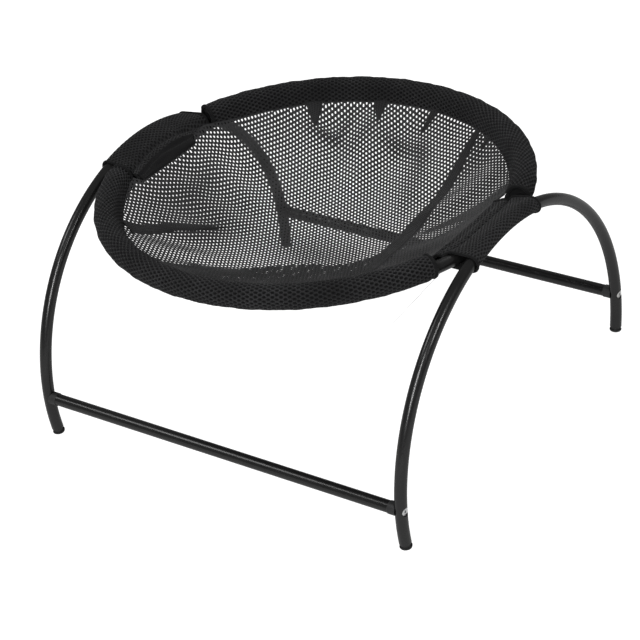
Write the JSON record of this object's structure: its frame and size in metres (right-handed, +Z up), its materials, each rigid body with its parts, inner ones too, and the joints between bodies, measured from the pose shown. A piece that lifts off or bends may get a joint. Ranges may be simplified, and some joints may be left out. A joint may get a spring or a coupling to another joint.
{
  "type": "raised pet bed",
  "caption": "Raised round mesh pet bed: a net bowl in a padded rim, hung between bent tube arches tied together by straight crossbars.",
  "frame": {"origin": "on the floor, under the middle of the bed", "axes": "+X along the crossbars to the right, +Y to the rear, +Z up"},
  "size_m": [0.4704, 0.4549, 0.2572],
  "materials": {
    "powder_coat": "black semi-gloss powder coat on thin steel tube",
    "zinc_steel": "bright zinc plate",
    "black_plastic": "moulded black plastic",
    "spacer_mesh": "thick knitted spacer mesh with diamond openings, black",
    "net": "open knitted net with oval holes, black"
  },
  "bodies": {
    "root": {"left_arch_tube": "powder_coat", "right_arch_tube": "powder_coat", "front_crossbar": "powder_coat", "rear_crossbar": "powder_coat", "front_rim_tube": "powder_coat", "rear_rim_tube": "powder_coat", "left_rim_spigot": "zinc_steel", "right_rim_spigot": "zinc_steel", "front_left_foot_cap": "black_plastic", "front_right_foot_cap": "black_plastic", "rear_left_foot_cap": "black_plastic", "rear_right_foot_cap": "black_plastic", "front_left_crossbar_bolt": "zinc_steel", "front_right_crossbar_bolt": "zinc_steel", "rear_left_crossbar_bolt": "zinc_steel", "rear_right_crossbar_bolt": "zinc_steel", "front_left_threaded_insert": "zinc_steel", "front_right_threaded_insert": "zinc_steel", "rear_left_threaded_insert": "zinc_steel", "rear_right_threaded_insert": "zinc_steel", "front_left_crossbar_saddle": "black_plastic", "front_right_crossbar_saddle": "black_plastic", "rear_left_crossbar_saddle": "black_plastic", "rear_right_crossbar_saddle": "black_plastic", "front_rim_sleeve": "spacer_mesh", "rear_rim_sleeve": "spacer_mesh", "left_side_pocket": "spacer_mesh", "right_side_pocket": "spacer_mesh", "net_bowl": "net"}
  },
  "joints": []
}
